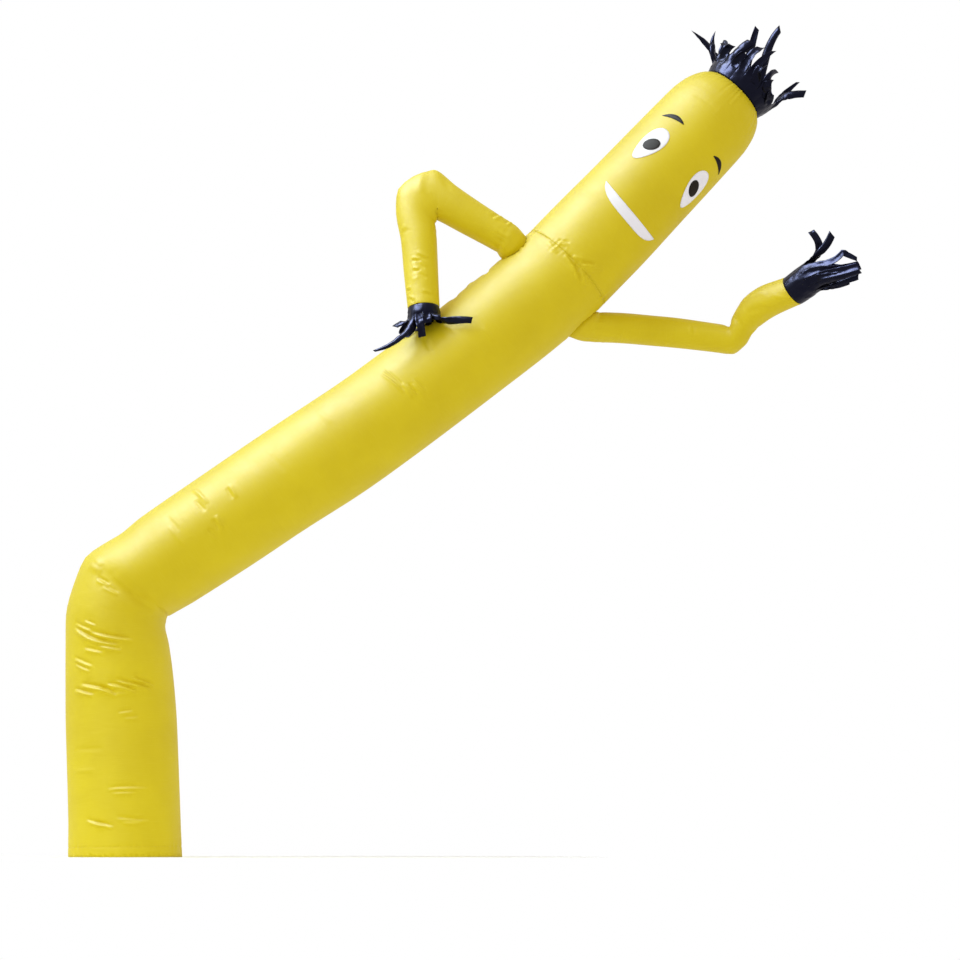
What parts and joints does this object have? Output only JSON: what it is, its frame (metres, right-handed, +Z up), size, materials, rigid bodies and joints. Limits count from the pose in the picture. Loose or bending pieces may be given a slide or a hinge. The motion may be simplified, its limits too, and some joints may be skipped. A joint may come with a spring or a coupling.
{
  "type": "inflatable air dancer",
  "caption": "Tall inflated tube figure of thin yellow nylon, leaning over from a pinched knee, with fringed black hands, a black hair fringe and a sewn-on face.",
  "frame": {"origin": "centre of the open hem at the bottom of the leg, where the blower's outlet goes in", "axes": "+Z up, +X towards the side the figure leans to (the viewer's right), -Y towards the viewer that its face looks at"},
  "size_m": [3.283, 0.5676, 3.498],
  "materials": {
    "yellow_nylon": "plain-woven coated nylon, soft sheen",
    "black_nylon": "plain-woven coated nylon, glossy",
    "white_nylon": "plain-woven coated nylon, soft sheen"
  },
  "bodies": {
    "root": {"body_tube": "yellow_nylon", "head_tube": "yellow_nylon", "sleeve_left": "yellow_nylon", "sleeve_right": "yellow_nylon", "hand_left": "black_nylon", "hand_right": "black_nylon", "hair_fringe": "black_nylon", "eye_left": "white_nylon", "eye_right": "white_nylon", "pupil_left": "black_nylon", "pupil_right": "black_nylon", "brow_left": "black_nylon", "brow_right": "black_nylon", "mouth": "white_nylon"}
  },
  "joints": []
}
